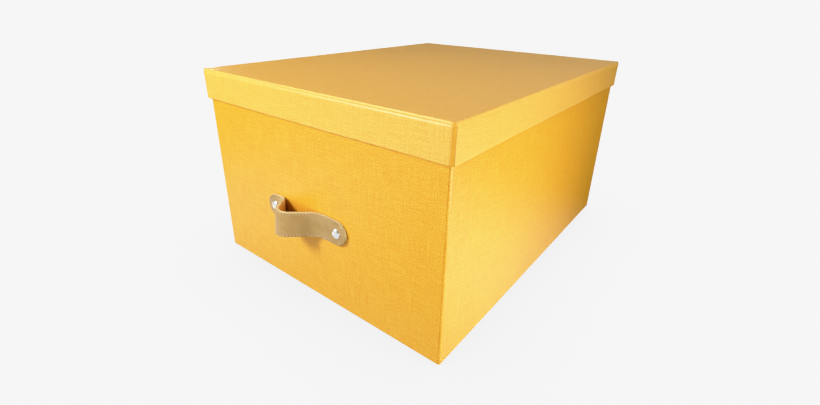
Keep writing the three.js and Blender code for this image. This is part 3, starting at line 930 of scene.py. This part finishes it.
# ---- studs, washers and screws ----
DOME_STEPS = 16
STUD_RIM = 0.9                       # depth of the head's straight rim
BARREL_R, BARREL_BORE_R = 2.5, 1.7
WASHER_HOLE_R = 2.6
WASHER_EDGE = 0.15                   # rounding of the washer's outer edge
HOLE_EDGE = 0.1                      # and of its hole
SCREW_R = 1.6
SCREW_POINT = (1.3, 0.4)             # radius of the shank's end, and how long it tapers
SCREW_HEAD = 1.4                     # thickness of the head
# The head's rounded top, from its edge inwards: (in from its radius, down from its top).
SCREW_ROUNDING = ((0, 0.55), (0.25, 0.2), (0.8, 0.04), (1.6, 0))
SLOT_WIDTH, SLOT_DEPTH = 1.1, 0.7
SLOT_TURN = {"left": 0.5, "right": 1.3}


def turned(outline, x, steps=64):
    """A turned bmesh on an axis along Y; `outline` lists (radius, y) round its section."""
    points, faces = [], []
    for r, y in outline:
        for i in range(steps):
            a = 2 * math.pi * i / steps
            points.append((x + r * math.cos(a), y, STRAP_Z + r * math.sin(a)))
    for k in range(len(outline) - 1):
        for i in range(steps):
            j = (i + 1) % steps
            faces.append((k * steps + i, k * steps + j, (k + 1) * steps + j, (k + 1) * steps + i))
    bm = mesh_of(points, faces)
    bmesh.ops.remove_doubles(bm, verts=bm.verts, dist=0.002)
    bmesh.ops.recalc_face_normals(bm, faces=bm.faces)
    return bm


def studs():
    """Both studs, each with its washer and screw on the inside of the wall."""
    for name, x in zip(("left", "right"), STUD_X):
        low, high = node_box(f"stud_{name}")
        top, end = low.y, high.y
        under = -(FRONT_Y + GLUE_LINE + FACE + GLUE)
        rim = under - STUD_RIM
        rise = rim - top
        dome_r = (STUD_R ** 2 + rise ** 2) / (2 * rise)
        outline = []
        for i in range(DOME_STEPS + 1):
            r = (STUD_R - 0.12) * i / DOME_STEPS
            outline.append((r, top + dome_r - math.sqrt(dome_r ** 2 - r ** 2)))
        outline += [(STUD_R - 0.03, rim + 0.06), (STUD_R, rim + 0.2), (STUD_R, under - 0.15),
                    (STUD_R - 0.1, under), (BARREL_R + 0.05, under), (BARREL_R, under + 0.1),
                    (BARREL_R, end - 0.2), (BARREL_R - 0.2, end), (BARREL_BORE_R, end),
                    (BARREL_BORE_R, under + 1), (0, under + 1)]
        object_from(turned(outline, x), f"stud_head_{name}", [nickel], "box",
                    [f"stud_{name}"])
        w_low, w_high = node_box(f"washer_{name}")
        inner, outer = WASHER_HOLE_R, (w_high.x - w_low.x) / 2
        ring = [(inner, w_low.y), (outer - WASHER_EDGE, w_low.y), (outer, w_low.y + WASHER_EDGE),
                (outer, w_high.y - WASHER_EDGE), (outer - WASHER_EDGE, w_high.y),
                (inner + HOLE_EDGE, w_high.y), (inner, w_high.y - HOLE_EDGE), (inner, w_low.y)]
        object_from(turned(ring, x), f"washer_ring_{name}", [zinc], "box",
                    [f"washer_{name}"])
        screw(name, x)


def screw(name, x):
    """A turned screw with a slot cut across its head."""
    low, high = node_box(f"screw_{name}")
    radius = (high.x - low.x) / 2
    seat = high.y - SCREW_HEAD
    point_r, point_length = SCREW_POINT
    outline = [(0, low.y), (point_r, low.y), (SCREW_R, low.y + point_length), (SCREW_R, seat),
               (radius - 0.1, seat), (radius, seat + 0.12)]
    outline += [(radius - inwards, high.y - down) for inwards, down in SCREW_ROUNDING]
    outline.append((0, high.y))
    body = object_from(turned(outline, x), f"slotted_screw_{name}", [zinc], None)
    cutter_mesh = bmesh.new()
    bmesh.ops.create_cube(cutter_mesh, size=1.0)
    bmesh.ops.scale(cutter_mesh, vec=(2 * radius + 2, 2 * SLOT_DEPTH, SLOT_WIDTH),
                    verts=cutter_mesh.verts)
    turn = Matrix.Rotation(SLOT_TURN[name], 4, "Y")
    bmesh.ops.transform(cutter_mesh, verts=cutter_mesh.verts,
                        matrix=Matrix.Translation((x, high.y, STRAP_Z)) @ turn)
    cutter = object_from(cutter_mesh, "slot_cutter", [], None)
    cut = body.modifiers.new("slot", "BOOLEAN")
    cut.object = cutter
    cut.operation = "DIFFERENCE"
    cut.solver = "EXACT"
    depsgraph = bpy.context.evaluated_depsgraph_get()
    mesh = bpy.data.meshes.new_from_object(body.evaluated_get(depsgraph))
    body.modifiers.clear()
    body.data = mesh
    bpy.data.objects.remove(cutter)
    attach(body, "box")
    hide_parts(f"screw_{name}")


studs()


# ---- CAD nodes that stay: boards, tapes, lining paper and the sheet under the base ----
def paint(name, material):
    """Gives a CAD node its material."""
    data = frame["nodes"][name].data
    data.materials.clear()
    data.materials.append(material)


for node_name in frame["nodes"]:
    if node_name.endswith("_board"):
        paint(node_name, greyboard)
    elif "stay" in node_name:
        paint(node_name, tape)
    elif "liner" in node_name:
        paint(node_name, lining)
paint("base_cover", cloth_flat)


# ---- floor, light, camera and tone, in metres ----
FLOOR_REACH = 60.0                   # from the box to the floor's edges
FLOOR_GLOW = 1.072                   # how bright the floor looks away from the box
FLOOR_SHADE = 0.85                   # the same, right against the box
FLOOR_SHADE_REACH = 0.12
FLOOR_ALBEDO = 0.001                 # almost none, so that the lights leave no streaks on it
# Soft bright places on the floor that show only in gloss: centre, radius and strength.
POOLS = (((-0.25, -0.45, 0), 0.45, 1.5), ((0.31, -0.10, 0), 0.38, 1.4))
FLOOR_IN_METAL = 0.8                 # the least that polished metal shows of the floor
BACKDROP = 1.085                     # the brightness behind the floor
# Soft patches of a pale room that light and reflections show: way there, and strength.
ROOM = (((-0.6, 0.75, 0.2), 0.08), ((0.0, 1.0, 0.15), 0.34))
ROOM_FALLOFF = 3.0
# A white sweep in front, which only polished metal shows.
SWEEP = (((-0.5, -0.8, 0.1), 0.95),)
SWEEP_FALLOFF = 2.0
# Soft square lights: place, what it faces, size, power in watts, and whether gloss shows it.
LIGHTS = {
    "key": ((-0.5, -1.03, 0.74), (0, -0.24, 0.12), 0.35, 18.2, True),
    "front_low": ((0, -1.2, 0.1), (0, -0.2, 0.12), 0.5, 8.6, False),
    "side": ((0.9, -0.3, 0.1), (0.15, -0.1, 0.15), 0.4, 10.1, True),
    "near_corner": ((0.5, -0.12, 0.05), (0.19, -0.15, 0.15), 0.2, 1.1, True),
    "overhead": ((0.1, -0.1, 1.5), (0, 0, 0.2), 0.9, 8.2, True),
    "overhead_right": ((0.6, -0.1, 1.1), (0, 0, 0.25), 0.6, 2.6, True),
    "left_side": ((-1.3, 0.1, 0.15), (-0.19, 0.05, 0.12), 0.5, 11.0, True),
    "back": ((0.1, 1.3, 0.15), (0, 0.245, 0.13), 0.5, 6.5, False),
}
SENSOR, LENS = 36.0, 18.918          # millimetres
LENS_SHIFT = (0.0009, -0.03)
NEAREST = 0.01
CAMERA_PLACE = (0.36028, -0.52539, 0.34818)
CAMERA_FORWARD = (-0.5604, 0.7312, -0.3891)
CAMERA_UP = (-0.2547, 0.2949, 0.921)
# Bright light is rolled off, as a camera does it: the scene's light and what it comes out as.
SHOULDER = ((0.7, 0.7), (0.85, 0.82), (1.0, 0.90), (1.2, 0.955), (1.5, 0.985))
BRIGHTEST = 2.0


def floor():
    """A floor that glows evenly to the camera, shades towards the box, and has its pools."""
    bm = bmesh.new()
    bmesh.ops.create_grid(bm, x_segments=1, y_segments=1, size=FLOOR_REACH / MM)
    n = Nodes("studio_floor")
    near = n.new("ShaderNodeAmbientOcclusion", samples=8)
    near.inputs["Distance"].default_value = FLOOR_SHADE_REACH
    ray = n.new("ShaderNodeLightPath")
    place = n.new("ShaderNodeTexCoord").outputs["Object"]
    pools = 0.0
    for centre, radius, strength in POOLS:
        away = n.new("ShaderNodeVectorMath", operation="DISTANCE")
        n.link(place, away.inputs[0])
        away.inputs[1].default_value = centre
        near_pool = n.math("SUBTRACT", 1.0, n.math("DIVIDE", away.outputs["Value"], radius),
                           clamp=True)
        pools = n.math("ADD", n.math("MULTIPLY", near_pool, strength), pools)
    in_metal = n.math("MULTIPLY", ray.outputs["Is Singular Ray"], FLOOR_IN_METAL)
    pools = n.math("MAXIMUM", pools, in_metal)
    glossy = n.math("MULTIPLY", ray.outputs["Is Glossy Ray"], pools)
    seen = n.math("MAXIMUM", ray.outputs["Is Camera Ray"], glossy)
    glow = n.math("ADD", n.math("MULTIPLY", near.outputs["AO"], FLOOR_GLOW - FLOOR_SHADE),
                  FLOOR_SHADE)
    n.set(Base_Color=(FLOOR_ALBEDO,) * 3, Roughness=1.0, Specular_IOR_Level=0.0,
          Emission_Color=(1.0, 1.0, 1.0))
    n.set(Emission_Strength=n.math("MULTIPLY", glow, seen))
    object_from(bm, "floor", [n.material], None)


def world():
    """The backdrop that the camera sees, and the room that everything else sees."""
    made = bpy.data.worlds.new("studio")
    made.use_nodes = True
    bpy.context.scene.world = made
    nodes = made.node_tree.nodes
    link = made.node_tree.links.new
    way = nodes.new("ShaderNodeTexCoord").outputs["Generated"]
    ray = nodes.new("ShaderNodeLightPath").outputs

    def math_node(operation, a, b):
        step = nodes.new("ShaderNodeMath")
        step.operation = operation
        for socket, value in zip(step.inputs, (a, b)):
            if isinstance(value, float):
                socket.default_value = value
            else:
                link(value, socket)
        return step.outputs[0]

    def glow(patches, falloff):
        total = 0.0
        for direction, strength in patches:
            dot = nodes.new("ShaderNodeVectorMath")
            dot.operation = "DOT_PRODUCT"
            link(way, dot.inputs[0])
            dot.inputs[1].default_value = Vector(direction).normalized()
            facing = math_node("MAXIMUM", dot.outputs["Value"], 0.0)
            patch = math_node("MULTIPLY", math_node("POWER", facing, falloff), strength)
            total = math_node("ADD", patch, total)
        return total

    def background(strength):
        made = nodes.new("ShaderNodeBackground")
        made.inputs["Color"].default_value = (1, 1, 1, 1)
        if isinstance(strength, float):
            made.inputs["Strength"].default_value = strength
        else:
            link(strength, made.inputs["Strength"])
        return made.outputs[0]

    mirrored = math_node("MULTIPLY", glow(SWEEP, SWEEP_FALLOFF), ray["Is Singular Ray"])
    light = background(math_node("ADD", glow(ROOM, ROOM_FALLOFF), mirrored))
    mix = nodes.new("ShaderNodeMixShader")
    link(ray["Is Camera Ray"], mix.inputs[0])
    link(light, mix.inputs[1])
    link(background(BACKDROP), mix.inputs[2])
    link(mix.outputs[0], nodes["World Output"].inputs["Surface"])


def lights():
    for name, (place, target, size, power, in_gloss) in LIGHTS.items():
        data = bpy.data.lights.new(name, "AREA")
        data.shape = "SQUARE"
        data.size = size
        data.energy = power
        obj = bpy.data.objects.new(name, data)
        way = Vector(target) - Vector(place)
        obj.location = Vector(place)
        obj.rotation_euler = way.to_track_quat("-Z", "Y").to_euler()
        obj.visible_glossy = in_gloss
        bpy.context.scene.collection.objects.link(obj)


def camera():
    data = bpy.data.cameras.new("camera")
    data.sensor_width = SENSOR
    data.lens = LENS
    data.shift_x, data.shift_y = LENS_SHIFT
    data.clip_start = NEAREST
    obj = bpy.data.objects.new("camera", data)
    forward = Vector(CAMERA_FORWARD).normalized()
    right = forward.cross(Vector(CAMERA_UP)).normalized()
    up = right.cross(forward)
    turn = Matrix((right, up, -forward)).transposed().to_4x4()
    obj.matrix_world = Matrix.Translation(CAMERA_PLACE) @ turn
    bpy.context.scene.collection.objects.link(obj)
    bpy.context.scene.camera = obj


def tone():
    """The colour management: plain, with the shoulder as its curve."""
    view = bpy.context.scene.view_settings
    view.view_transform = "Standard"
    view.look = "None"
    view.use_curve_mapping = True
    view.curve_mapping.white_level = (BRIGHTEST,) * 3
    points = view.curve_mapping.curves[3].points
    for light, shown in SHOULDER:
        points.new(light / BRIGHTEST, shown)
    for point in points:
        point.handle_type = "VECTOR"
    view.curve_mapping.update()


floor()
world()
lights()
camera()
tone()
